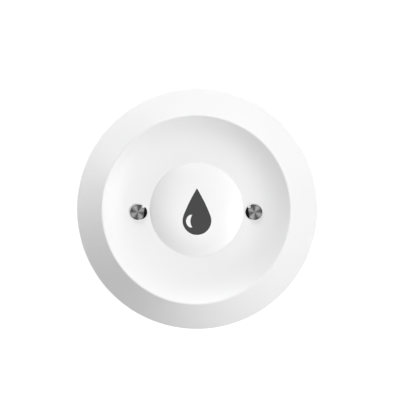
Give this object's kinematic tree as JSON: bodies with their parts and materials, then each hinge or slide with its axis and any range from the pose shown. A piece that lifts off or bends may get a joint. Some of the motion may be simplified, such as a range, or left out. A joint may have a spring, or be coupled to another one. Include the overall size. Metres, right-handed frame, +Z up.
{
  "type": "water leak sensor",
  "caption": "Round white floor puck with a concave drip dish, domed push button with a drop sign, metal drip probes, battery door and rubber feet; senses leaked water.",
  "frame": {"origin": "on the floor under the middle of the puck", "axes": "+Z up through the button, +X towards the right drip probe, +Y towards the tip of the drop sign"},
  "size_m": [0.072, 0.072, 0.0271],
  "materials": {
    "white_plastic": "white moulded plastic, fine satin texture",
    "cap_plastic": "white moulded plastic, smooth satin",
    "base_plastic": "white moulded plastic, fine texture",
    "door_plastic": "white moulded plastic, fine texture",
    "grey_inlay": "dark grey inlay, satin",
    "silicone": "translucent silicone, matt",
    "nylon": "natural nylon",
    "screw_steel": "zinc plated steel",
    "probe_steel": "turned stainless steel",
    "black_rubber": "black rubber, matt",
    "foot_rubber": "dark grey rubber, matt",
    "board_laminate": "green glass laminate with solder mask",
    "shield_can": "tinned steel",
    "black_moulding": "black moulded plastic",
    "light_lens": "clear yellowish resin",
    "vent_film": "white porous film",
    "cell_wrap": null,
    "contact_metal": "nickel plated brass"
  },
  "bodies": {
    "case": {"top_shell": "white_plastic", "button_boot": "silicone", "boot_retainer": "nylon", "retainer_screws": "screw_steel", "left_drip_probe": "probe_steel", "right_drip_probe": "probe_steel", "left_probe_seal": "black_rubber", "right_probe_seal": "black_rubber", "probe_nuts": "screw_steel", "circuit_board": "board_laminate", "board_screws": "screw_steel", "radio_module": "shield_can", "controller_chip": "black_moulding", "tact_switch": "black_moulding", "status_light": "light_lens", "siren": "black_moulding", "sound_vent": "vent_film", "base_shell": "base_plastic", "case_seal": "black_rubber", "case_screws": "screw_steel", "upper_cell": "cell_wrap", "lower_cell": "cell_wrap", "cell_springs": "contact_metal", "bridge_contact": "contact_metal", "positive_terminal": "contact_metal", "negative_terminal": "contact_metal", "left_floor_probe": "probe_steel", "right_floor_probe": "probe_steel", "left_floor_seal": "black_rubber", "right_floor_seal": "black_rubber", "floor_probe_nuts": "screw_steel", "probe_springs": "contact_metal", "left_foot": "foot_rubber", "right_foot": "foot_rubber", "front_foot": "foot_rubber", "rear_foot": "foot_rubber"},
    "button": {"button_cap": "cap_plastic", "drop_mark": "grey_inlay", "switch_plunger": "black_moulding"},
    "door": {"battery_door": "door_plastic", "door_gasket": "black_rubber"}
  },
  "joints": [
    {"name": "button_press", "type": "slide", "parent": "case", "child": "button", "axis": [0, 0, -1], "range_m": [0, 0.0005], "stiffness_N_per_m": 2500, "springref_m": -0.0002, "deforming": ["button_boot"]},
    {"name": "door_tilt", "type": "hinge", "parent": "case", "child": "door", "pos_m": [0, -0.01205, 0.0012], "axis": [-1, 0, 0], "range_deg": [0, 45]}
  ]
}
